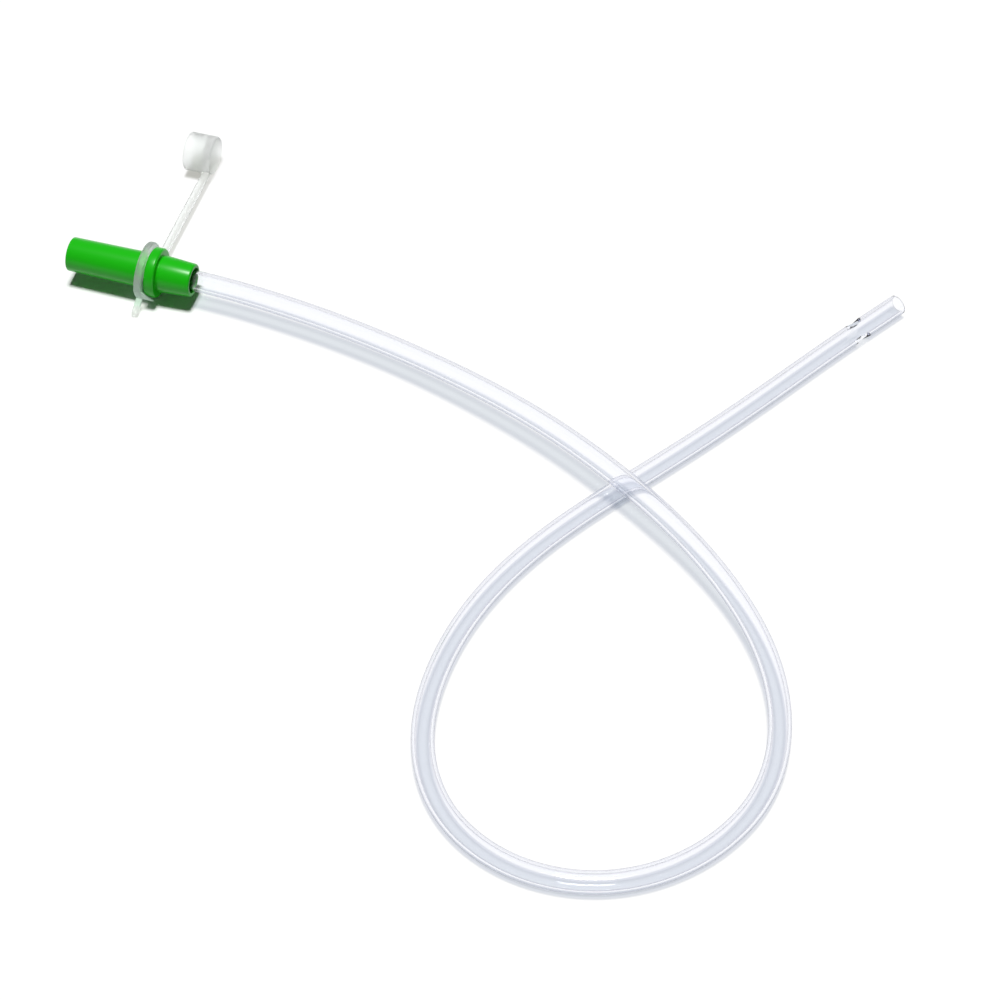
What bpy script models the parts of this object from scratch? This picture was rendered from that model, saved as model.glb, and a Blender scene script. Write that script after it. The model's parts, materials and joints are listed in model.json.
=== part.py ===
"""Urethral catheter: a clear tube with two eyes near its open tip, a green connector,
and a cap that a strap tethers to the connector. It lies on a table at z = 0."""

import math

import bmesh
import bpy
import numpy as np
from mathutils import Matrix, Vector

MM = 0.001

# Gap between two pieces that meet, and the smaller gap where the tube crosses itself
CLEARANCE = 0.30 * MM
CROSSING_GAP = 0.40 * MM

# Tube, 14 Ch
TUBE_OD = 4.67 * MM
TUBE_ID = 3.30 * MM
TIP_ROUNDING = 0.30 * MM

# Eyes: two opposed holes near the tip, on an axis tilted up from the table
EYE_FROM_TIP = 12.5 * MM
EYE_LENGTH = 4.2 * MM
EYE_WIDTH = 2.4 * MM
EYE_TILT = math.radians(32)

# Connector: distances along its axis, from the mouth
CONNECTOR_LENGTH = 28.97 * MM
FLANGE_X = 18.99 * MM
FLANGE_THICKNESS = 2.34 * MM
GROOVE_WIDTH = 0.45 * MM
GROOVE_DEPTH = 0.22 * MM
STOP_X = 20.0 * MM
PASSAGE_X = 17.5 * MM
FUNNEL_X = 10.0 * MM
LEAD_IN_LENGTH = 1.0 * MM

# Connector: the bore of its mouth, its walls, and how much each taper adds to a diameter
MOUTH_BORE = 6.20 * MM
BORE_TAPER = 0.24 * MM
MOUTH_WALL = 0.70 * MM
BARREL_TAPER = 0.43 * MM
FLANGE_RISE = 1.545 * MM
SLEEVE_END_WALL = 0.78 * MM
SLEEVE_TAPER = 0.94 * MM
LEAD_IN_DEPTH = 0.265 * MM

# Connector: edge fillets
RIM_FILLET = 0.18 * MM
FLANGE_FILLET = 0.55 * MM
SLEEVE_FILLET = 0.45 * MM

# Tethered cap: the ring rests on the table, so its radius sets the height of the axis
RING_WALL = 2.085 * MM
RING_WIDTH = 2.00 * MM
RING_FILLET = 0.35 * MM
STRAP_WIDTH = 1.90 * MM
STRAP_THICKNESS = 0.90 * MM
STRAP_HEIGHT = 2.30 * MM
CAP_REACH = 41.1 * MM
CAP_WALL = 0.465 * MM
CAP_LENGTH = 6.50 * MM
CAP_HEAD = 1.90 * MM
CAP_FILLET = 0.40 * MM
TAB_WIDTH = 1.50 * MM
TAB_THICKNESS = 0.80 * MM
TAB_REACH = 8.80 * MM
TAB_LIFT = 0.10 * MM
TAB_ROOT_ANGLE = math.radians(-140)
MOULDED_EDGE = 0.18 * MM

# Facets
TURNED_SIDES = 48
TUBE_SIDES = 16
FILLET_STEPS = 3
TUBE_POINTS = 70

# What fits together
MOUTH_OD = MOUTH_BORE + 2 * MOUTH_WALL
BARREL_OD = MOUTH_OD + BARREL_TAPER
FLANGE_OD = BARREL_OD + 2 * FLANGE_RISE
SOCKET_BORE = TUBE_OD + 2 * CLEARANCE
LEAD_IN_BORE = SOCKET_BORE + 2 * LEAD_IN_DEPTH
SLEEVE_END_OD = LEAD_IN_BORE + 2 * SLEEVE_END_WALL
SLEEVE_OD = SLEEVE_END_OD + SLEEVE_TAPER
RING_BORE = BARREL_OD + 2 * CLEARANCE
RING_OD = RING_BORE + 2 * RING_WALL
CAP_BORE = MOUTH_OD + CLEARANCE
CAP_OD = CAP_BORE + 2 * CAP_WALL
AXIS_HEIGHT = RING_OD / 2
RING_CENTRE_X = FLANGE_X - CLEARANCE - RING_WIDTH / 2
CAP_CENTRE_HEIGHT = CAP_OD / 2
CROSSING_LIFT = TUBE_OD + CROSSING_GAP

# The frame's origin is on the table, under the middle of the connector and its cap
MOUTH_X = -CONNECTOR_LENGTH / 2
AXIS_Y = -(CAP_REACH + CAP_OD / 2 - TAB_REACH) / 2

# Tube's route from the end of the sleeve: X and Y in millimetres, then its lift as a share of the lift
# that it needs to cross over itself
ROUTE = (
    (17.9, -1.1, 0.79),
    (35.8, -3.7, 0.78),
    (53.4, -7.7, 0.81),
    (70.6, -13.1, 0.91),
    (87.4, -19.9, 0.99),
    (103.4, -28.2, 1.0),
    (118.8, -37.7, 0.86),
    (132.9, -48.8, 0.57),
    (144.6, -62.5, 0.27),
    (151.6, -78.9, 0.06),
    (151.8, -96.8, 0.0),
    (143.7, -112.9, 0.0),
    (129.3, -123.4, 0.0),
    (111.6, -125.3, 0.0),
    (95.5, -117.7, 0.0),
    (85.8, -102.7, 0.0),
    (83.2, -84.9, 0.0),
    (85.6, -67.0, 0.0),
    (91.9, -50.2, 0.0),
    (100.9, -34.5, 0.0),
    (111.0, -19.5, 0.0),
    (120.9, -4.4, 0.0),
    (130.3, 11.0, 0.0),
    (139.6, 26.5, 0.0),
    (149.2, 41.8, 0.0),
)
TIP_DIRECTION = (0.53, 0.85, 0.0)


def plastic(name, colour, roughness, transmission):
    """A Principled material for a moulded or extruded plastic."""
    material = bpy.data.materials.new(name)
    material.use_nodes = True
    shader = material.node_tree.nodes["Principled BSDF"]
    shader.inputs["Base Color"].default_value = (*colour, 1.0)
    shader.inputs["Roughness"].default_value = roughness
    shader.inputs["Metallic"].default_value = 0.0
    shader.inputs["Transmission Weight"].default_value = transmission
    return material


def mesh_object(name, mesh_builder, material=None):
    """A smooth-shaded object from a bmesh, whose faces are turned outward."""
    bmesh.ops.recalc_face_normals(mesh_builder, faces=mesh_builder.faces)
    mesh = bpy.data.meshes.new(name)
    mesh_builder.to_mesh(mesh)
    mesh_builder.free()
    mesh.shade_smooth()
    mesh.set_sharp_from_angle(angle=math.radians(35))
    if material:
        mesh.materials.append(material)
    made = bpy.data.objects.new(name, mesh)
    bpy.context.scene.collection.objects.link(made)
    return made


def rounded_outline(corners):
    """Outline through corners given as (x, y, fillet radius). A corner with no fillet stays sharp."""
    outline = []
    for index, (x, y, radius) in enumerate(corners):
        corner = Vector((x, y))
        if radius == 0:
            outline.append(corner)
            continue
        before = Vector(corners[index - 1][:2]) - corner
        after = Vector(corners[(index + 1) % len(corners)][:2]) - corner
        half_angle = before.angle(after) / 2
        tangent_length = radius / math.tan(half_angle)
        bisector = (before.normalized() + after.normalized()).normalized()
        centre = corner + bisector * radius / math.sin(half_angle)
        start = corner + before.normalized() * tangent_length - centre
        end = corner + after.normalized() * tangent_length - centre
        first = math.atan2(start.y, start.x)
        turn = math.atan2(start.cross(end), start.dot(end))
        for step in range(FILLET_STEPS + 1):
            angle = first + turn * step / FILLET_STEPS
            outline.append(centre + radius * Vector((math.cos(angle), math.sin(angle))))
    return outline


def turned(name, outline, material=None):
    """A body turned about X from an outline of (x, radius): a closed one, or one that ends on the axis."""
    builder = bmesh.new()
    verts = [builder.verts.new((point.x, point.y, 0.0)) for point in outline]
    edges = [builder.edges.new(pair) for pair in zip(verts, verts[1:])]
    if outline[0].y > 0:
        edges.append(builder.edges.new((verts[-1], verts[0])))
    bmesh.ops.spin(
        builder,
        geom=verts + edges,
        axis=(1, 0, 0),
        angle=2 * math.pi,
        steps=TURNED_SIDES,
    )
    bmesh.ops.remove_doubles(builder, verts=builder.verts, dist=MM / 1000)
    return mesh_object(name, builder, material)


def bar(name, start, end, thickness, width):
    """A flat bar between two (y, z) places, with round ends. Its width runs along X, its edges are eased."""
    start = Vector(start)
    end = Vector(end)
    length = (end - start).length
    radius = thickness / 2
    builder = bmesh.new()
    outline = []
    for centre, first in ((length, -90), (0.0, 90)):
        for step in range(2 * FILLET_STEPS + 1):
            angle = math.radians(first + 180 * step / (2 * FILLET_STEPS))
            outline.append((centre + radius * math.cos(angle), radius * math.sin(angle)))
    side = builder.faces.new([builder.verts.new((-width / 2, y, z)) for y, z in outline])
    sweep = bmesh.ops.extrude_face_region(builder, geom=[side])
    moved = [item for item in sweep["geom"] if isinstance(item, bmesh.types.BMVert)]
    bmesh.ops.translate(builder, verts=moved, vec=(width, 0, 0))
    rims = [edge for edge in builder.edges if abs(edge.verts[0].co.x - edge.verts[1].co.x) < width / 2]
    bmesh.ops.bevel(builder, geom=rims, offset=MOULDED_EDGE, segments=2, affect="EDGES")
    made = mesh_object(name, builder)
    slope = math.atan2(end.y - start.y, end.x - start.x)
    made.matrix_local = Matrix.Translation((0, start.x, start.y)) @ Matrix.Rotation(slope, 4, "X")
    return made


def as_helper(helper, parent):
    """Makes an object a helper of a Boolean: it stays out of renders and follows its parent."""
    helper.hide_render = True
    helper.display_type = "WIRE"
    helper.parent = parent


def boolean(target, helper, operation):
    modifier = target.modifiers.new(f"{operation.lower()} {helper.name}", "BOOLEAN")
    modifier.operation = operation
    modifier.solver = "EXACT"
    modifier.object = helper


def make_connector():
    flange_end = FLANGE_X + FLANGE_THICKNESS
    groove_end = flange_end + GROOVE_WIDTH
    corners = (
        (0.0, MOUTH_BORE / 2, RIM_FILLET),
        (0.0, MOUTH_OD / 2, RIM_FILLET),
        (FLANGE_X, BARREL_OD / 2, 0.0),
        (FLANGE_X, FLANGE_OD / 2, FLANGE_FILLET),
        (flange_end, FLANGE_OD / 2, FLANGE_FILLET),
        (flange_end, SLEEVE_OD / 2 - GROOVE_DEPTH, 0.0),
        (groove_end, SLEEVE_OD / 2 - GROOVE_DEPTH, 0.0),
        (groove_end, SLEEVE_OD / 2, 0.0),
        (CONNECTOR_LENGTH, SLEEVE_END_OD / 2, SLEEVE_FILLET),
        (CONNECTOR_LENGTH, LEAD_IN_BORE / 2, 0.0),
        (CONNECTOR_LENGTH - LEAD_IN_LENGTH, SOCKET_BORE / 2, 0.0),
        (STOP_X, SOCKET_BORE / 2, 0.0),
        (STOP_X, TUBE_ID / 2, 0.0),
        (PASSAGE_X, TUBE_ID / 2, 0.0),
        (FUNNEL_X, (MOUTH_BORE - BORE_TAPER) / 2, 0.0),
    )
    green = plastic("glossy_green_plastic", (0.012, 0.50, 0.012), 0.16, 0.0)
    connector = turned("connector", rounded_outline(corners), green)
    connector.location = (MOUTH_X, AXIS_Y, AXIS_HEIGHT)
    return connector


def make_tethered_cap():
    """Ring, strap, tab and cap in one moulding. Its origin is in the ring's centre, on the barrel's axis."""
    half = RING_WIDTH / 2
    ring_corners = (
        (-half, RING_BORE / 2, RING_FILLET),
        (half, RING_BORE / 2, RING_FILLET),
        (half, RING_OD / 2, RING_FILLET),
        (-half, RING_OD / 2, RING_FILLET),
    )
    milky = plastic("milky_polyethylene", (0.86, 0.88, 0.90), 0.30, 0.35)
    moulding = turned("tethered_cap", rounded_outline(ring_corners), milky)
    moulding.location = (MOUTH_X + RING_CENTRE_X, AXIS_Y, AXIS_HEIGHT)

    head_inside = half - CAP_HEAD
    cap_corners = (
        (half, 0.0, 0.0),
        (half, CAP_OD / 2, CAP_FILLET),
        (half - CAP_LENGTH, CAP_OD / 2, MOULDED_EDGE),
        (half - CAP_LENGTH, CAP_BORE / 2, MOULDED_EDGE / 2),
        (head_inside, CAP_BORE / 2, 0.0),
        (head_inside, 0.0, 0.0),
    )
    cap = turned("cap_helper", rounded_outline(cap_corners))
    cap.location = (0, CAP_REACH, CAP_CENTRE_HEIGHT - AXIS_HEIGHT)

    ring_middle = (RING_OD + RING_BORE) / 4
    strap_z = STRAP_HEIGHT - AXIS_HEIGHT
    strap_start = math.sqrt(ring_middle**2 - strap_z**2)
    strap_end = CAP_REACH - CAP_OD / 4
    strap = bar("strap_helper", (strap_start, strap_z), (strap_end, strap_z), STRAP_THICKNESS, STRAP_WIDTH)

    tab_root = (ring_middle * math.cos(TAB_ROOT_ANGLE), ring_middle * math.sin(TAB_ROOT_ANGLE))
    tab_tip = (-TAB_REACH + TAB_THICKNESS / 2, TAB_LIFT + TAB_THICKNESS / 2 - AXIS_HEIGHT)
    tab = bar("tab_helper", tab_root, tab_tip, TAB_THICKNESS, TAB_WIDTH)

    for helper in (cap, strap, tab):
        as_helper(helper, moulding)
        boolean(moulding, helper, "UNION")
    return moulding


def smooth_route(points, first_direction, last_direction, count):
    """Points evenly along the cubic spline through the route's own points, with set end directions."""
    knots = np.array(points)
    steps = np.linalg.norm(np.diff(knots, axis=0), axis=1)
    along = np.concatenate([[0.0], np.cumsum(steps)])
    size = len(knots)
    system = np.eye(size)
    slopes = np.zeros((size, 3))
    slopes[0] = first_direction
    slopes[-1] = last_direction
    for i in range(1, size - 1):
        before, after = steps[i - 1], steps[i]
        system[i, i - 1 : i + 2] = after, 2 * (before + after), before
        rise_before = (knots[i] - knots[i - 1]) / before
        rise_after = (knots[i + 1] - knots[i]) / after
        slopes[i] = 3 * (after * rise_before + before * rise_after)
    slopes = np.linalg.solve(system, slopes)
    curve = []
    for place in np.linspace(0.0, along[-1], count):
        i = min(int(np.searchsorted(along, place, side="right")) - 1, size - 2)
        t = (place - along[i]) / steps[i]
        start_part = (1 + 2 * t) * (1 - t) ** 2 * knots[i] + t * (1 - t) ** 2 * steps[i] * slopes[i]
        end_part = t * t * (3 - 2 * t) * knots[i + 1] + t * t * (t - 1) * steps[i] * slopes[i + 1]
        curve.append(start_part + end_part)
    return curve


def tube_centres():
    """Centre line of the tube from inside its socket to the tip, in the tube's own frame."""
    radius = TUBE_OD / 2
    knots = [(0.0, 0.0, AXIS_HEIGHT)]
    knots += [(x * MM, y * MM, radius + share * CROSSING_LIFT) for x, y, share in ROUTE]
    tip_direction = np.array(TIP_DIRECTION) / np.linalg.norm(TIP_DIRECTION)
    free = smooth_route(knots, (1.0, 0.0, 0.0), tip_direction, TUBE_POINTS)
    socket_depth = CONNECTOR_LENGTH - STOP_X - CLEARANCE
    centres = [Vector((-socket_depth, 0.0, AXIS_HEIGHT))]
    centres += [Vector((x, y, max(z, radius))) for x, y, z in free]
    return centres


def section_frames(centres):
    """Tangent and two cross directions at each centre, carried along without twist."""
    frames = []
    side = Vector((0, 1, 0))
    for index, centre in enumerate(centres):
        before = centres[max(index - 1, 0)]
        after = centres[min(index + 1, len(centres) - 1)]
        tangent = (after - before).normalized()
        side = (side - tangent * side.dot(tangent)).normalized()
        frames.append((centre, tangent, side, tangent.cross(side)))
    return frames


def make_tube():
    """The hollow tube: rings of points out along its outside, over the rounded tip and back inside."""
    centres = tube_centres()
    frames = section_frames(centres)
    outer = TUBE_OD / 2
    inner = TUBE_ID / 2
    last = len(frames) - 1
    stations = [(i, 0.0, outer) for i in range(last)]
    for step in range(FILLET_STEPS + 1):
        angle = math.pi / 2 * step / FILLET_STEPS
        setback = TIP_ROUNDING * (1 - math.sin(angle))
        stations.append((last, setback, outer - TIP_ROUNDING * (1 - math.cos(angle))))
    stations.append((last, 0.0, inner))
    stations += [(i, 0.0, inner) for i in reversed(range(last))]

    builder = bmesh.new()
    rings = []
    for index, setback, radius in stations:
        centre, tangent, side, up = frames[index]
        ring = []
        for corner in range(TUBE_SIDES):
            angle = 2 * math.pi * corner / TUBE_SIDES
            spoke = math.cos(angle) * side + math.sin(angle) * up
            ring.append(builder.verts.new(centre - setback * tangent + radius * spoke))
        rings.append(ring)
    for ring, following in zip(rings, rings[1:] + rings[:1]):
        for corner in range(TUBE_SIDES):
            neighbour = (corner + 1) % TUBE_SIDES
            builder.faces.new((ring[corner], ring[neighbour], following[neighbour], following[corner]))
    clear = plastic("clear_pvc", (0.88, 0.90, 0.96), 0.12, 0.9)
    tube = mesh_object("tube", builder, clear)
    tube.location = (MOUTH_X + CONNECTOR_LENGTH, AXIS_Y, 0.0)
    return tube, centres


def cut_eyes(tube, centres):
    """Cuts both eyes with one oval punch that goes right through the tube."""
    tip = centres[-1]
    direction = (tip - centres[-3]).normalized()
    across = Vector((-direction.y, direction.x, 0)).normalized()
    punch_axis = math.cos(EYE_TILT) * across + Vector((0, 0, math.sin(EYE_TILT)))
    builder = bmesh.new()
    bmesh.ops.create_cone(
        builder,
        segments=TURNED_SIDES // 2,
        radius1=EYE_LENGTH / 2,
        radius2=EYE_LENGTH / 2,
        depth=2 * TUBE_OD,
        cap_ends=True,
    )
    bmesh.ops.scale(builder, verts=builder.verts, vec=(1.0, EYE_WIDTH / EYE_LENGTH, 1.0))
    punch = mesh_object("eye_punch", builder)
    turn = Matrix((direction, punch_axis.cross(direction), punch_axis)).transposed().to_4x4()
    punch.matrix_local = Matrix.Translation(tip - EYE_FROM_TIP * direction) @ turn
    as_helper(punch, tube)
    boolean(tube, punch, "DIFFERENCE")


def clear_scene():
    for old in list(bpy.data.objects):
        bpy.data.objects.remove(old, do_unlink=True)


def main():
    clear_scene()
    make_connector()
    make_tethered_cap()
    tube, centres = make_tube()
    cut_eyes(tube, centres)


main()
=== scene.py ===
"""Looks of the urethral catheter: clear PVC tube, glossy green connector and milky tethered cap."""

import json
import math

import bmesh
import bpy
import numpy as np
from mathutils import Matrix, Vector


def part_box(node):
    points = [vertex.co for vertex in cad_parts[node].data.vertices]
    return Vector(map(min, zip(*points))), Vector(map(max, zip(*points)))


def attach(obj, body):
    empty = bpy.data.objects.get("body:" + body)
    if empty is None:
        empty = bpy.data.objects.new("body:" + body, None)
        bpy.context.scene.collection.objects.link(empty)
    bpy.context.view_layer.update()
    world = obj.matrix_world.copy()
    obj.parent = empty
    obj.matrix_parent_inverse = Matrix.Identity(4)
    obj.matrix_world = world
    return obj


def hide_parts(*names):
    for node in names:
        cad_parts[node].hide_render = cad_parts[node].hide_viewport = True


MM = 0.001

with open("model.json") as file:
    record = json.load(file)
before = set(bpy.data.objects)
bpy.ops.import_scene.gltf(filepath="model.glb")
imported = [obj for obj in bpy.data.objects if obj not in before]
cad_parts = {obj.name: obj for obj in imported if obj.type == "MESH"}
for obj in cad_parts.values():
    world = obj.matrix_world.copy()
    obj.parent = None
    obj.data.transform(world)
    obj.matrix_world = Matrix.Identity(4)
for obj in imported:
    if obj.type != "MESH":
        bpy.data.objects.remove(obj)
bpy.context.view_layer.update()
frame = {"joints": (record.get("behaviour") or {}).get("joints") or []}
ring_joint = frame["joints"][0]
connector_low, connector_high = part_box("connector")

# Places that come from the frame
AXIS_Y = (connector_low.y + connector_high.y) / 2
AXIS_HEIGHT = (connector_low.z + connector_high.z) / 2
MOUTH_X = connector_low.x
SLEEVE_END_X = connector_high.x
CONNECTOR_LENGTH = SLEEVE_END_X - MOUTH_X
RING_CENTRE = Vector(ring_joint["pos_m"])

# Gaps that still show between pieces which touch on the real object
SNUG_GAP = 0.08 * MM
CROSSING_GAP = 0.40 * MM

# Tube
TUBE_OD = 4.67 * MM
TUBE_ID = 3.30 * MM
TIP_ROUNDING = 0.28 * MM
EYE_FROM_TIP = 12.5 * MM
EYE_LENGTH = 4.2 * MM
EYE_WIDTH = 2.4 * MM
EYE_TILT = math.radians(32)

# Connector
FLANGE_X = 18.99 * MM
FLANGE_THICKNESS = 2.34 * MM
GROOVE_WIDTH = 0.45 * MM
GROOVE_DEPTH = 0.22 * MM
STOP_X = 20.0 * MM
PASSAGE_X = 17.5 * MM
FUNNEL_X = 10.0 * MM
LEAD_IN_LENGTH = 3.0 * MM
MOUTH_BORE = 6.20 * MM
BORE_TAPER = 0.24 * MM
MOUTH_OD = 7.60 * MM
BARREL_OD = 8.03 * MM
FLANGE_OD = 11.12 * MM
SLEEVE_OD = 8.30 * MM
SLEEVE_END_OD = 7.36 * MM
LEAD_IN_BORE = 5.80 * MM
RIM_FILLET = 0.30 * MM
FLANGE_FILLET = 0.55 * MM
SLEEVE_FILLET = 0.45 * MM
SMALL_FILLET = 0.10 * MM

# Tethered cap. The foot is a thin wedge at the ring's lower side that reaches along under the flange
RING_OD = 12.80 * MM
RING_WIDTH = 2.00 * MM
RING_FILLET = 0.40 * MM
RING_TRIM = 0.35 * MM
RING_LEAN = math.radians(3.0)
RING_SNUG_GAP = 0.14 * MM
RING_BORE_RADIUS = BARREL_OD / 2 + RING_SNUG_GAP
STRAP_WIDTH = 1.90 * MM
STRAP_THICKNESS = 0.90 * MM
STRAP_HEIGHT = 2.30 * MM
CAP_REACH = 41.1 * MM
CAP_OD = 8.83 * MM
CAP_BORE = 7.90 * MM
CAP_LENGTH = 6.50 * MM
CAP_HEAD = 1.90 * MM
CAP_FILLET = 0.45 * MM
TAB_WIDTH = 1.50 * MM
TAB_THICKNESS = 0.80 * MM
TAB_REACH = 8.80 * MM
TAB_LIFT = 0.10 * MM
TAB_ROOT_ANGLE = math.radians(-140)
FOOT_RADIUS = 6.20 * MM
FOOT_THICKNESS = 0.50 * MM
FOOT_WIDTH = 1.60 * MM
FOOT_SPREAD = 2.50 * MM
FOOT_LOW_ANGLE = math.radians(-137)
FOOT_HIGH_ANGLE = math.radians(-175)
MOULDED_EDGE = 0.18 * MM
CAP_VOXEL = 0.12 * MM
CAP_SOFTENING_PASSES = 6

# Facets
TURNED_SIDES = 96
TUBE_SIDES = 32
FILLET_STEPS = 5
TUBE_POINTS = 260
SHARP_ANGLE = math.radians(40)

# Clear PVC: its colour square on, then a painted shade that greys that colour at a slant and stands in for
# the dark surroundings seen along its silhouettes; the shares of slant where the painted shade starts and
# is full, the part of the lamps' light that passes each wall, and the tint of its thickness
PVC_COLOUR = (0.992, 0.995, 1.0)
PVC_PAINTED_EDGE_SHADE = (0.42, 0.42, 0.48)
PVC_PAINTED_SHADE_START = 0.42
PVC_PAINTED_SHADE_END = 0.82
PVC_LAMP_SHARE = (0.928, 0.938, 0.943)
PVC_EDGE_LAMP_SHARE = (0.795, 0.805, 0.812)
PVC_TINT = (0.35, 0.44, 0.97, 1.0)
PVC_TINT_DENSITY = 45.0

# Green plastic
GREEN = (0.008, 0.50, 0.003, 1.0)

# Milky plastic, clear in most places. In the ring's lower half it is made cloudier and green, a painted
# glow for the light that half gets and for the green light that the connector throws on it. From the ring's
# centre, the painted glow fades out between two distances sideways and between two heights
MILKY_COLOUR = (0.98, 1.0, 0.99, 1.0)
PAINTED_GLOW_COLOUR = (0.80, 1.0, 0.86, 1.0)
MILKY_CLARITY = 0.90
PAINTED_GLOW_CLARITY = 0.12
PAINTED_GLOW_SIDE = (6.1 * MM, 7.2 * MM)
PAINTED_GLOW_HEIGHT = (-2.0 * MM, 4.5 * MM)
MILKY_LAMP_SHARE = (0.82, 0.82, 0.805, 1.0)

# Camera, as fitted to the photograph
CAMERA_PLACE = (0.21960, -0.46173, 0.48944)
CAMERA_TILT = math.radians(41.0)
CAMERA_TURN = math.radians(16.906)
CAMERA_LENS = 111.6

# Light: the overhead sun, then the white surroundings as dull, glossy and clear surfaces see them. Through
# a clear one they are darker near the horizon, over a range of the direction's upward part
SUN_STRENGTH = 3.2
SUN_ANGLE = math.radians(12)
FILL_STRENGTH = 0.05
GLOSS_STRENGTH = 0.3
HORIZON_STRENGTH = 0.5
HORIZON_RANGE = (0.05, 0.45)

# White floor: its brightness as seen, and in the light that it sends back to other surfaces
FLOOR_HALF_SIZE = 3.0
FLOOR_SEEN = 0.99
FLOOR_BOUNCE = 0.62

# Tube's route from the end of the sleeve: X and Y in millimetres, then its lift as a share of the lift
# that it needs to cross over itself
ROUTE = (
    (17.9, -1.1, 0.79),
    (35.8, -3.7, 0.78),
    (53.4, -7.7, 0.81),
    (70.6, -13.1, 0.91),
    (87.4, -19.9, 0.99),
    (103.4, -28.2, 1.0),
    (118.8, -37.7, 0.86),
    (132.9, -48.8, 0.57),
    (144.6, -62.5, 0.27),
    (151.6, -78.9, 0.06),
    (151.8, -96.8, 0.0),
    (143.7, -112.9, 0.0),
    (129.3, -123.4, 0.0),
    (111.6, -125.3, 0.0),
    (95.5, -117.7, 0.0),
    (85.8, -102.7, 0.0),
    (83.2, -84.9, 0.0),
    (85.6, -67.0, 0.0),
    (91.9, -50.2, 0.0),
    (100.9, -34.5, 0.0),
    (111.0, -19.5, 0.0),
    (120.9, -4.4, 0.0),
    (130.3, 11.0, 0.0),
    (139.6, 26.5, 0.0),
    (149.2, 41.8, 0.0),
)
TIP_DIRECTION = (0.53, 0.85, 0.0)


def new_material(name):
    """A node material, its tree and its Principled shader."""
    material = bpy.data.materials.new(name)
    material.use_nodes = True
    tree = material.node_tree
    return material, tree, tree.nodes["Principled BSDF"]


def calculate(tree, operation, *values):
    """A Math node on numbers and sockets, and the socket with its result."""
    node = tree.nodes.new("ShaderNodeMath")
    node.operation = operation
    for place, value in zip(node.inputs, values):
        if isinstance(value, (int, float)):
            place.default_value = value
        else:
            tree.links.new(value, place)
    return node.outputs["Value"]


def add_bump(tree, shader, scale, strength, distance):
    """A fine, soft unevenness of a moulded or extruded surface."""
    place = tree.nodes.new("ShaderNodeTexCoord")
    noise = tree.nodes.new("ShaderNodeTexNoise")
    noise.inputs["Scale"].default_value = scale
    noise.inputs["Detail"].default_value = 3.0
    bump = tree.nodes.new("ShaderNodeBump")
    bump.inputs["Strength"].default_value = strength
    bump.inputs["Distance"].default_value = distance
    tree.links.new(place.outputs["Object"], noise.inputs["Vector"])
    tree.links.new(noise.outputs["Fac"], bump.inputs["Height"])
    tree.links.new(bump.outputs["Normal"], shader.inputs["Normal"])


def slant_colour(tree, square_on, edge_on, start=0.0, end=1.0):
    """A colour that changes from one for a surface met square on to one for a surface met at a slant."""
    slant = tree.nodes.new("ShaderNodeLayerWeight")
    slant.inputs["Blend"].default_value = 0.5
    shade = tree.nodes.new("ShaderNodeValToRGB")
    shade.color_ramp.elements[0].position = start
    shade.color_ramp.elements[0].color = (*square_on, 1.0)
    shade.color_ramp.elements[1].position = end
    shade.color_ramp.elements[1].color = (*edge_on, 1.0)
    tree.links.new(slant.outputs["Facing"], shade.inputs["Fac"])
    return shade.outputs["Color"]


def let_lamps_through(tree, shader):
    """Lets part of the lamps' light through the surface. Gives the socket for that part's colour."""
    rays = tree.nodes.new("ShaderNodeLightPath")
    clear = tree.nodes.new("ShaderNodeBsdfTransparent")
    choice = tree.nodes.new("ShaderNodeMixShader")
    tree.links.new(rays.outputs["Is Shadow Ray"], choice.inputs["Fac"])
    tree.links.new(shader.outputs["BSDF"], choice.inputs[1])
    tree.links.new(clear.outputs["BSDF"], choice.inputs[2])
    tree.links.new(choice.outputs["Shader"], tree.nodes["Material Output"].inputs["Surface"])
    return clear.inputs["Color"]


def clear_pvc():
    """Clear plasticised PVC with a faint violet tint, greyed at a slant by a painted shade along its
    silhouettes. Its shadow is pale, with darker edges.
    """
    material, tree, shader = new_material("clear_pvc")
    # Painted shade: the base colour turns grey at a slant, in place of dark surroundings seen at the
    # silhouettes
    painted_edge_shade = slant_colour(tree, PVC_COLOUR, PVC_PAINTED_EDGE_SHADE, PVC_PAINTED_SHADE_START, PVC_PAINTED_SHADE_END)
    tree.links.new(painted_edge_shade, shader.inputs["Base Color"])
    shader.inputs["Roughness"].default_value = 0.02
    shader.inputs["IOR"].default_value = 1.53
    shader.inputs["Transmission Weight"].default_value = 1.0
    lamp_share = slant_colour(tree, PVC_LAMP_SHARE, PVC_EDGE_LAMP_SHARE)
    tree.links.new(lamp_share, let_lamps_through(tree, shader))
    tint = tree.nodes.new("ShaderNodeVolumeAbsorption")
    tint.inputs["Color"].default_value = PVC_TINT
    tint.inputs["Density"].default_value = PVC_TINT_DENSITY
    tree.links.new(tint.outputs["Volume"], tree.nodes["Material Output"].inputs["Volume"])
    return material


def green_plastic():
    """Glossy opaque green moulding."""
    material, tree, shader = new_material("glossy_green_plastic")
    shader.inputs["Base Color"].default_value = GREEN
    shader.inputs["Roughness"].default_value = 0.30
    shader.inputs["IOR"].default_value = 1.45
    shader.inputs["Specular IOR Level"].default_value = 0.35
    add_bump(tree, shader, scale=900.0, strength=0.05, distance=0.02 * MM)
    return material


def eased_share(tree, value, start, end):
    """How far a value is on its way from start to end, from 0 to 1, eased at both ends."""
    node = tree.nodes.new("ShaderNodeMapRange")
    node.interpolation_type = "SMOOTHSTEP"
    node.inputs["From Min"].default_value = start
    node.inputs["From Max"].default_value = end
    tree.links.new(value, node.inputs["Value"])
    return node.outputs["Result"]


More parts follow.
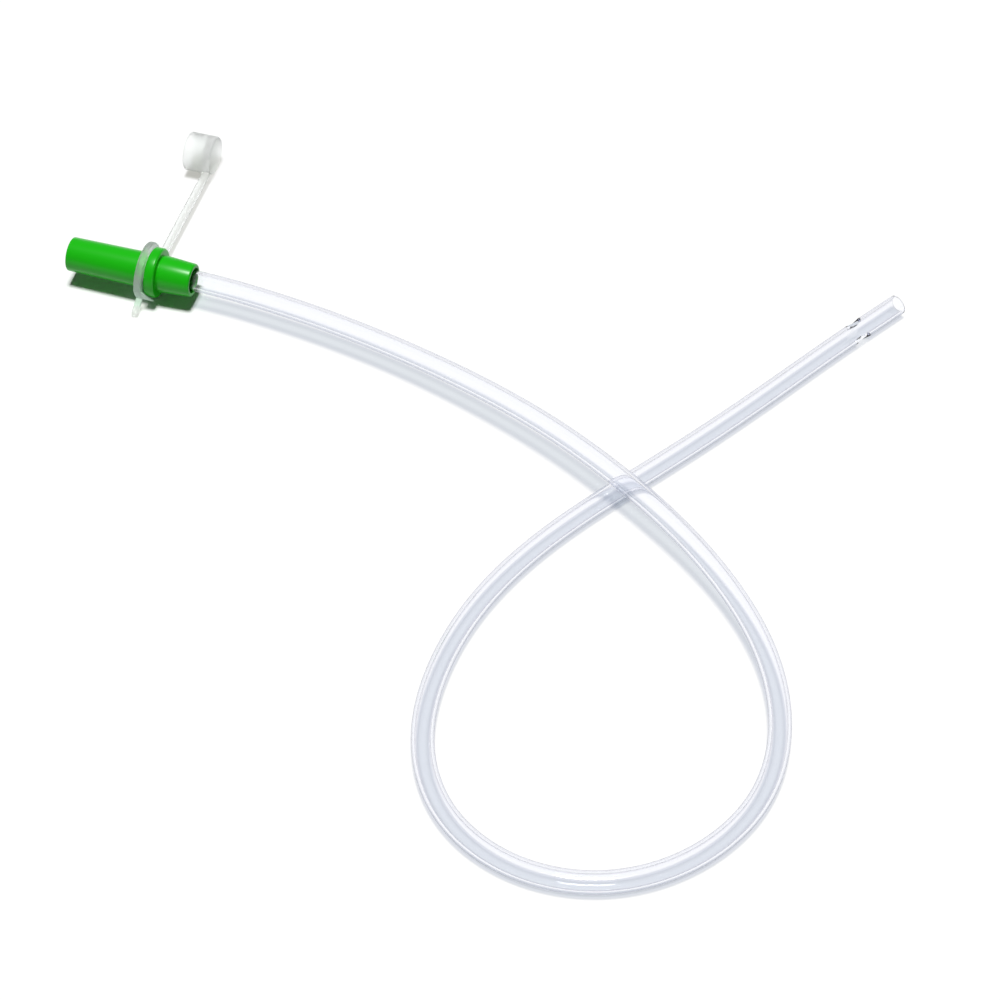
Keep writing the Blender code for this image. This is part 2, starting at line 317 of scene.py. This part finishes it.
def milky_polyethylene():
    """Translucent milky moulding, cloudier and greener in the ring's lower half: a painted glow for the
    light there.
    """
    material, tree, shader = new_material("milky_polyethylene")
    shader.inputs["Roughness"].default_value = 0.50
    shader.inputs["IOR"].default_value = 1.25
    place = tree.nodes.new("ShaderNodeTexCoord")
    parts = tree.nodes.new("ShaderNodeSeparateXYZ")
    tree.links.new(place.outputs["Object"], parts.inputs["Vector"])
    # Painted glow: low on the ring and close to it, the moulding is made cloudier and green in place of
    # light falling there
    sideways = calculate(tree, "ABSOLUTE", parts.outputs["Y"])
    far = eased_share(tree, sideways, *PAINTED_GLOW_SIDE)
    near = calculate(tree, "SUBTRACT", 1.0, far)
    bottom, top = PAINTED_GLOW_HEIGHT
    low = eased_share(tree, parts.outputs["Z"], top, bottom)
    painted_glow = calculate(tree, "MULTIPLY", near, low)
    clarity = calculate(tree, "MULTIPLY_ADD", painted_glow, PAINTED_GLOW_CLARITY - MILKY_CLARITY, MILKY_CLARITY)
    tree.links.new(clarity, shader.inputs["Transmission Weight"])
    # Base colour: milky, turning green where the painted glow is
    tone = tree.nodes.new("ShaderNodeValToRGB")
    tone.color_ramp.elements[0].color = MILKY_COLOUR
    tone.color_ramp.elements[1].color = PAINTED_GLOW_COLOUR
    tree.links.new(painted_glow, tone.inputs["Fac"])
    tree.links.new(tone.outputs["Color"], shader.inputs["Base Color"])
    let_lamps_through(tree, shader).default_value = MILKY_LAMP_SHARE
    add_bump(tree, shader, scale=700.0, strength=0.06, distance=0.02 * MM)
    return material


def mesh_object(name, builder, material=None):
    """A smooth-shaded object from a bmesh, whose faces are turned outward."""
    bmesh.ops.recalc_face_normals(builder, faces=builder.faces)
    mesh = bpy.data.meshes.new(name)
    builder.to_mesh(mesh)
    builder.free()
    mesh.shade_smooth()
    mesh.set_sharp_from_angle(angle=SHARP_ANGLE)
    if material:
        mesh.materials.append(material)
    made = bpy.data.objects.new(name, mesh)
    bpy.context.scene.collection.objects.link(made)
    return made


def apply_modifiers(target):
    """Replaces the object's mesh by what its modifiers make of it, and drops them."""
    bpy.context.view_layer.update()
    graph = bpy.context.evaluated_depsgraph_get()
    made = bpy.data.meshes.new_from_object(target.evaluated_get(graph))
    target.modifiers.clear()
    target.data = made


def boolean(target, helper, operation):
    """Applies one Boolean to target and removes the helper."""
    modifier = target.modifiers.new("boolean", "BOOLEAN")
    modifier.operation = operation
    modifier.object = helper
    apply_modifiers(target)
    bpy.data.objects.remove(helper, do_unlink=True)


def rounded_outline(corners):
    """Outline through corners given as (x, y, fillet radius). A corner with no fillet stays sharp."""
    outline = []
    for index, (x, y, radius) in enumerate(corners):
        corner = Vector((x, y))
        if radius == 0:
            outline.append(corner)
            continue
        before = Vector(corners[index - 1][:2]) - corner
        after = Vector(corners[(index + 1) % len(corners)][:2]) - corner
        half_angle = before.angle(after) / 2
        tangent_length = radius / math.tan(half_angle)
        bisector = (before.normalized() + after.normalized()).normalized()
        centre = corner + bisector * radius / math.sin(half_angle)
        start = corner + before.normalized() * tangent_length - centre
        end = corner + after.normalized() * tangent_length - centre
        first = math.atan2(start.y, start.x)
        turn = math.atan2(start.cross(end), start.dot(end))
        for step in range(FILLET_STEPS + 1):
            angle = first + turn * step / FILLET_STEPS
            outline.append(centre + radius * Vector((math.cos(angle), math.sin(angle))))
    return outline


def turned(name, outline, place, material=None):
    """A body turned about X from an outline of (x, radius), put at a place."""
    builder = bmesh.new()
    verts = [builder.verts.new((point.x, point.y, 0.0)) for point in outline]
    edges = [builder.edges.new(pair) for pair in zip(verts, verts[1:])]
    if outline[0].y > 0:
        edges.append(builder.edges.new((verts[-1], verts[0])))
    bmesh.ops.spin(
        builder,
        geom=verts + edges,
        axis=(1, 0, 0),
        angle=2 * math.pi,
        steps=TURNED_SIDES,
    )
    bmesh.ops.remove_doubles(builder, verts=builder.verts, dist=MM / 1000)
    made = mesh_object(name, builder, material)
    made.location = place
    return made


def make_connector():
    flange_end = FLANGE_X + FLANGE_THICKNESS
    groove_end = flange_end + GROOVE_WIDTH
    socket_radius = TUBE_OD / 2 + SNUG_GAP
    corners = (
        (0.0, MOUTH_BORE / 2, RIM_FILLET / 2),
        (0.0, MOUTH_OD / 2, RIM_FILLET),
        (FLANGE_X, BARREL_OD / 2, 0.0),
        (FLANGE_X, FLANGE_OD / 2, FLANGE_FILLET),
        (flange_end, FLANGE_OD / 2, FLANGE_FILLET),
        (flange_end, SLEEVE_OD / 2 - GROOVE_DEPTH, 0.0),
        (groove_end, SLEEVE_OD / 2 - GROOVE_DEPTH, 0.0),
        (groove_end, SLEEVE_OD / 2, SMALL_FILLET),
        (CONNECTOR_LENGTH, SLEEVE_END_OD / 2, SLEEVE_FILLET),
        (CONNECTOR_LENGTH, LEAD_IN_BORE / 2, SMALL_FILLET),
        (CONNECTOR_LENGTH - LEAD_IN_LENGTH, socket_radius, 0.0),
        (STOP_X, socket_radius, 0.0),
        (STOP_X, TUBE_ID / 2, 0.0),
        (PASSAGE_X, TUBE_ID / 2, 0.0),
        (FUNNEL_X, (MOUTH_BORE - BORE_TAPER) / 2, 0.0),
    )
    place = (MOUTH_X, AXIS_Y, AXIS_HEIGHT)
    connector = turned("green_connector", rounded_outline(corners), place, green_plastic())
    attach(connector, "catheter")
    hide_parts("connector")


def bar(name, start, end, thickness, width, spread=0.0):
    """A flat bar between two (y, z) places about the ring's centre, with round ends and eased edges.

    At its start it is wider by the spread, on the side of the connector's sleeve, and tapers to its end.
    """
    start = Vector(start)
    end = Vector(end)
    length = (end - start).length
    radius = thickness / 2
    builder = bmesh.new()
    outline = []
    for centre, first in ((length, -90), (0.0, 90)):
        for step in range(2 * FILLET_STEPS + 1):
            angle = math.radians(first + 180 * step / (2 * FILLET_STEPS))
            outline.append((centre + radius * math.cos(angle), radius * math.sin(angle)))
    side = builder.faces.new([builder.verts.new((-width / 2, y, z)) for y, z in outline])
    sweep = bmesh.ops.extrude_face_region(builder, geom=[side])
    moved = [item for item in sweep["geom"] if isinstance(item, bmesh.types.BMVert)]
    bmesh.ops.translate(builder, verts=moved, vec=(width, 0, 0))
    rims = [edge for edge in builder.edges if abs(edge.verts[0].co.x - edge.verts[1].co.x) < width / 2]
    bmesh.ops.bevel(builder, geom=rims, offset=MOULDED_EDGE, segments=2, affect="EDGES")
    for vert in builder.verts:
        if vert.co.x > 0 and vert.co.y < length / 2:
            vert.co.x += spread
    made = mesh_object(name, builder)
    slope = math.atan2(end.y - start.y, end.x - start.x)
    place = Matrix.Translation(RING_CENTRE + Vector((0, start.x, start.y)))
    made.matrix_world = place @ Matrix.Rotation(slope, 4, "X")
    return made


def about_ring(radius, angle):
    """The (y, z) place at a radius and an angle about the ring's centre."""
    return radius * math.cos(angle), radius * math.sin(angle)


def ring_part():
    """The bare ring, narrowed on the mouth's side and leaning a little."""
    mouth_side = RING_TRIM - RING_WIDTH / 2
    flange_side = RING_WIDTH / 2
    corners = (
        (mouth_side, RING_BORE_RADIUS, RING_FILLET),
        (flange_side, RING_BORE_RADIUS, RING_FILLET),
        (flange_side, RING_OD / 2, RING_FILLET),
        (mouth_side, RING_OD / 2, RING_FILLET),
    )
    ring = turned("tethered_milky_cap", rounded_outline(corners), RING_CENTRE)
    ring.rotation_euler = (0.0, RING_LEAN, 0.0)
    return ring


def cup_part():
    """The cup-shaped cap, closed on the flange's side and open on the mouth's side."""
    closed_side = RING_WIDTH / 2
    open_side = closed_side - CAP_LENGTH
    head_inside = closed_side - CAP_HEAD
    corners = (
        (closed_side, 0.0, 0.0),
        (closed_side, CAP_OD / 2, CAP_FILLET),
        (open_side, CAP_OD / 2, MOULDED_EDGE),
        (open_side, CAP_BORE / 2, MOULDED_EDGE / 2),
        (head_inside, CAP_BORE / 2, 0.0),
        (head_inside, 0.0, 0.0),
    )
    place = RING_CENTRE + Vector((0, CAP_REACH, CAP_OD / 2 - AXIS_HEIGHT))
    return turned("cup_part", rounded_outline(corners), place)


def fuse(moulding):
    """Makes one skin of all that was joined to the moulding, and softens its corners."""
    remesh = moulding.modifiers.new("fuse", "REMESH")
    remesh.mode = "VOXEL"
    remesh.voxel_size = CAP_VOXEL
    remesh.use_smooth_shade = True
    soften = moulding.modifiers.new("soften", "SMOOTH")
    soften.factor = 0.5
    soften.iterations = CAP_SOFTENING_PASSES
    apply_modifiers(moulding)


def make_tethered_cap():
    """Ring, cap, strap, tab and foot as one moulding."""
    ring_middle = RING_OD / 4 + RING_BORE_RADIUS / 2
    strap_z = STRAP_HEIGHT - AXIS_HEIGHT
    strap_start = (math.sqrt(ring_middle**2 - strap_z**2), strap_z)
    strap_end = (CAP_REACH - CAP_OD / 4, strap_z)
    tab_root = about_ring(ring_middle, TAB_ROOT_ANGLE)
    tab_tip = (-TAB_REACH + TAB_THICKNESS / 2, TAB_LIFT + TAB_THICKNESS / 2 - AXIS_HEIGHT)
    foot_low = about_ring(FOOT_RADIUS, FOOT_LOW_ANGLE)
    foot_high = about_ring(FOOT_RADIUS, FOOT_HIGH_ANGLE)

    moulding = ring_part()
    parts = (
        cup_part(),
        bar("strap_part", strap_start, strap_end, STRAP_THICKNESS, STRAP_WIDTH),
        bar("tab_part", tab_root, tab_tip, TAB_THICKNESS, TAB_WIDTH),
        bar("foot_part", foot_low, foot_high, FOOT_THICKNESS, FOOT_WIDTH, FOOT_SPREAD),
    )
    for part in parts:
        boolean(moulding, part, "UNION")
    fuse(moulding)
    moulding.data.materials.clear()
    moulding.data.materials.append(milky_polyethylene())
    moulding.data.shade_smooth()
    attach(moulding, "cap")
    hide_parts("tethered_cap")


def smooth_route(points, first_direction, last_direction, count):
    """Points evenly along the cubic spline through the route's own points, with set end directions."""
    knots = np.array(points)
    steps = np.linalg.norm(np.diff(knots, axis=0), axis=1)
    along = np.concatenate([[0.0], np.cumsum(steps)])
    size = len(knots)
    system = np.eye(size)
    slopes = np.zeros((size, 3))
    slopes[0] = first_direction
    slopes[-1] = last_direction
    for i in range(1, size - 1):
        before, after = steps[i - 1], steps[i]
        system[i, i - 1 : i + 2] = after, 2 * (before + after), before
        rise_before = (knots[i] - knots[i - 1]) / before
        rise_after = (knots[i + 1] - knots[i]) / after
        slopes[i] = 3 * (after * rise_before + before * rise_after)
    slopes = np.linalg.solve(system, slopes)
    curve = []
    for place in np.linspace(0.0, along[-1], count):
        i = min(int(np.searchsorted(along, place, side="right")) - 1, size - 2)
        t = (place - along[i]) / steps[i]
        start_part = (1 + 2 * t) * (1 - t) ** 2 * knots[i] + t * (1 - t) ** 2 * steps[i] * slopes[i]
        end_part = t * t * (3 - 2 * t) * knots[i + 1] + t * t * (t - 1) * steps[i] * slopes[i + 1]
        curve.append(start_part + end_part)
    return curve


def tube_centres():
    """Centre line of the tube in the row frame, from inside its socket to the tip."""
    radius = TUBE_OD / 2
    lift = TUBE_OD + CROSSING_GAP
    knots = [(SLEEVE_END_X, AXIS_Y, AXIS_HEIGHT)]
    knots += [(SLEEVE_END_X + x * MM, AXIS_Y + y * MM, radius + share * lift) for x, y, share in ROUTE]
    tip_direction = np.array(TIP_DIRECTION) / np.linalg.norm(TIP_DIRECTION)
    free = smooth_route(knots, (1.0, 0.0, 0.0), tip_direction, TUBE_POINTS)
    stop = MOUTH_X + STOP_X + SNUG_GAP
    centres = [Vector((stop, AXIS_Y, AXIS_HEIGHT))]
    centres += [Vector((x, y, max(z, radius))) for x, y, z in free]
    return centres


def section_frames(centres):
    """Tangent and two cross directions at each centre, carried along without twist."""
    frames = []
    side = Vector((0, 1, 0))
    for index, centre in enumerate(centres):
        before = centres[max(index - 1, 0)]
        after = centres[min(index + 1, len(centres) - 1)]
        tangent = (after - before).normalized()
        side = (side - tangent * side.dot(tangent)).normalized()
        frames.append((centre, tangent, side, tangent.cross(side)))
    return frames


def make_tube():
    """The hollow tube: rings of points out along its outside, over the rounded tip and back inside."""
    centres = tube_centres()
    frames = section_frames(centres)
    outer = TUBE_OD / 2
    inner = TUBE_ID / 2
    last = len(frames) - 1
    stations = [(i, 0.0, outer) for i in range(last)]
    for step in range(FILLET_STEPS + 1):
        angle = math.pi / 2 * step / FILLET_STEPS
        setback = TIP_ROUNDING * (1 - math.sin(angle))
        stations.append((last, setback, outer - TIP_ROUNDING * (1 - math.cos(angle))))
    for step in range(FILLET_STEPS + 1):
        angle = math.pi / 2 * step / FILLET_STEPS
        setback = TIP_ROUNDING * (1 - math.cos(angle))
        stations.append((last, setback, inner + TIP_ROUNDING * (1 - math.sin(angle))))
    stations += [(i, 0.0, inner) for i in reversed(range(last))]

    builder = bmesh.new()
    rings = []
    for index, setback, radius in stations:
        centre, tangent, side, up = frames[index]
        ring = []
        for corner in range(TUBE_SIDES):
            angle = 2 * math.pi * corner / TUBE_SIDES
            spoke = math.cos(angle) * side + math.sin(angle) * up
            ring.append(builder.verts.new(centre - setback * tangent + radius * spoke))
        rings.append(ring)
    for ring, following in zip(rings, rings[1:] + rings[:1]):
        for corner in range(TUBE_SIDES):
            neighbour = (corner + 1) % TUBE_SIDES
            builder.faces.new((ring[corner], ring[neighbour], following[neighbour], following[corner]))
    tube = mesh_object("clear_tube", builder, clear_pvc())
    cut_eyes(tube, centres)
    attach(tube, "catheter")
    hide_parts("tube")


def cut_eyes(tube, centres):
    """Cuts both eyes with one oval punch that goes right through the tube."""
    tip = centres[-1]
    direction = (tip - centres[-3]).normalized()
    across = Vector((-direction.y, direction.x, 0)).normalized()
    punch_axis = math.cos(EYE_TILT) * across + Vector((0, 0, math.sin(EYE_TILT)))
    builder = bmesh.new()
    bmesh.ops.create_cone(
        builder,
        segments=TURNED_SIDES // 2,
        radius1=EYE_LENGTH / 2,
        radius2=EYE_LENGTH / 2,
        depth=2 * TUBE_OD,
        cap_ends=True,
    )
    bmesh.ops.scale(builder, verts=builder.verts, vec=(1.0, EYE_WIDTH / EYE_LENGTH, 1.0))
    punch = mesh_object("eye_punch", builder)
    turn = Matrix((direction, punch_axis.cross(direction), punch_axis)).transposed().to_4x4()
    punch.matrix_world = Matrix.Translation(tip - EYE_FROM_TIP * direction) @ turn
    boolean(tube, punch, "DIFFERENCE")
    tube.data.shade_smooth()
    tube.data.set_sharp_from_angle(angle=SHARP_ANGLE)


def make_floor():
    """Plain white floor, less bright in the light that it sends to other surfaces than to the eye."""
    builder = bmesh.new()
    bmesh.ops.create_grid(builder, x_segments=1, y_segments=1, size=FLOOR_HALF_SIZE)
    material, tree, shader = new_material("white_floor")
    shader.inputs["Roughness"].default_value = 0.9
    shader.inputs["Specular IOR Level"].default_value = 0.0
    rays = tree.nodes.new("ShaderNodeLightPath")
    brightness = tree.nodes.new("ShaderNodeMapRange")
    brightness.inputs["To Min"].default_value = FLOOR_SEEN
    brightness.inputs["To Max"].default_value = FLOOR_BOUNCE
    tree.links.new(rays.outputs["Is Diffuse Ray"], brightness.inputs["Value"])
    tree.links.new(brightness.outputs["Result"], shader.inputs["Base Color"])
    mesh_object("floor", builder, material)


def make_sun():
    """A soft light straight from above."""
    sun = bpy.data.lights.new("overhead", "SUN")
    sun.energy = SUN_STRENGTH
    sun.angle = SUN_ANGLE
    bpy.context.scene.collection.objects.link(bpy.data.objects.new("overhead", sun))


def make_surroundings():
    """White all round to the eye, dimmer in glossy and clear surfaces, and a faint fill everywhere else."""
    world = bpy.data.worlds.new("white_surroundings")
    world.use_nodes = True
    tree = world.node_tree
    rays = tree.nodes.new("ShaderNodeLightPath")
    direction = tree.nodes.new("ShaderNodeTexCoord")
    parts = tree.nodes.new("ShaderNodeSeparateXYZ")
    tree.links.new(direction.outputs["Generated"], parts.inputs["Vector"])
    through = tree.nodes.new("ShaderNodeMapRange")
    through.inputs["From Min"].default_value = HORIZON_RANGE[0]
    through.inputs["From Max"].default_value = HORIZON_RANGE[1]
    through.inputs["To Min"].default_value = HORIZON_STRENGTH
    through.inputs["To Max"].default_value = 1.0
    tree.links.new(parts.outputs["Z"], through.inputs["Value"])
    seen = calculate(tree, "MULTIPLY", rays.outputs["Is Transmission Ray"], through.outputs["Result"])
    seen = calculate(tree, "MULTIPLY_ADD", rays.outputs["Is Glossy Ray"], GLOSS_STRENGTH, seen)
    seen = calculate(tree, "ADD", rays.outputs["Is Camera Ray"], seen)
    unscattered = calculate(tree, "LESS_THAN", rays.outputs["Diffuse Depth"], 0.5)
    seen = calculate(tree, "MULTIPLY", seen, unscattered)
    strength = calculate(tree, "MAXIMUM", seen, FILL_STRENGTH)
    background = tree.nodes["Background"]
    background.inputs["Color"].default_value = (1.0, 1.0, 1.0, 1.0)
    tree.links.new(strength, background.inputs["Strength"])
    bpy.context.scene.world = world


def make_camera():
    camera_data = bpy.data.cameras.new("camera")
    camera_data.lens = CAMERA_LENS
    camera_data.clip_start = 0.01
    camera_data.clip_end = 10.0
    camera = bpy.data.objects.new("camera", camera_data)
    camera.location = CAMERA_PLACE
    camera.rotation_euler = (CAMERA_TILT, 0.0, CAMERA_TURN)
    scene = bpy.context.scene
    scene.collection.objects.link(camera)
    scene.camera = camera
    scene.view_settings.view_transform = "Standard"
    scene.cycles.caustics_refractive = False


make_floor()
make_sun()
make_surroundings()
make_camera()
make_tube()
make_connector()
make_tethered_cap()
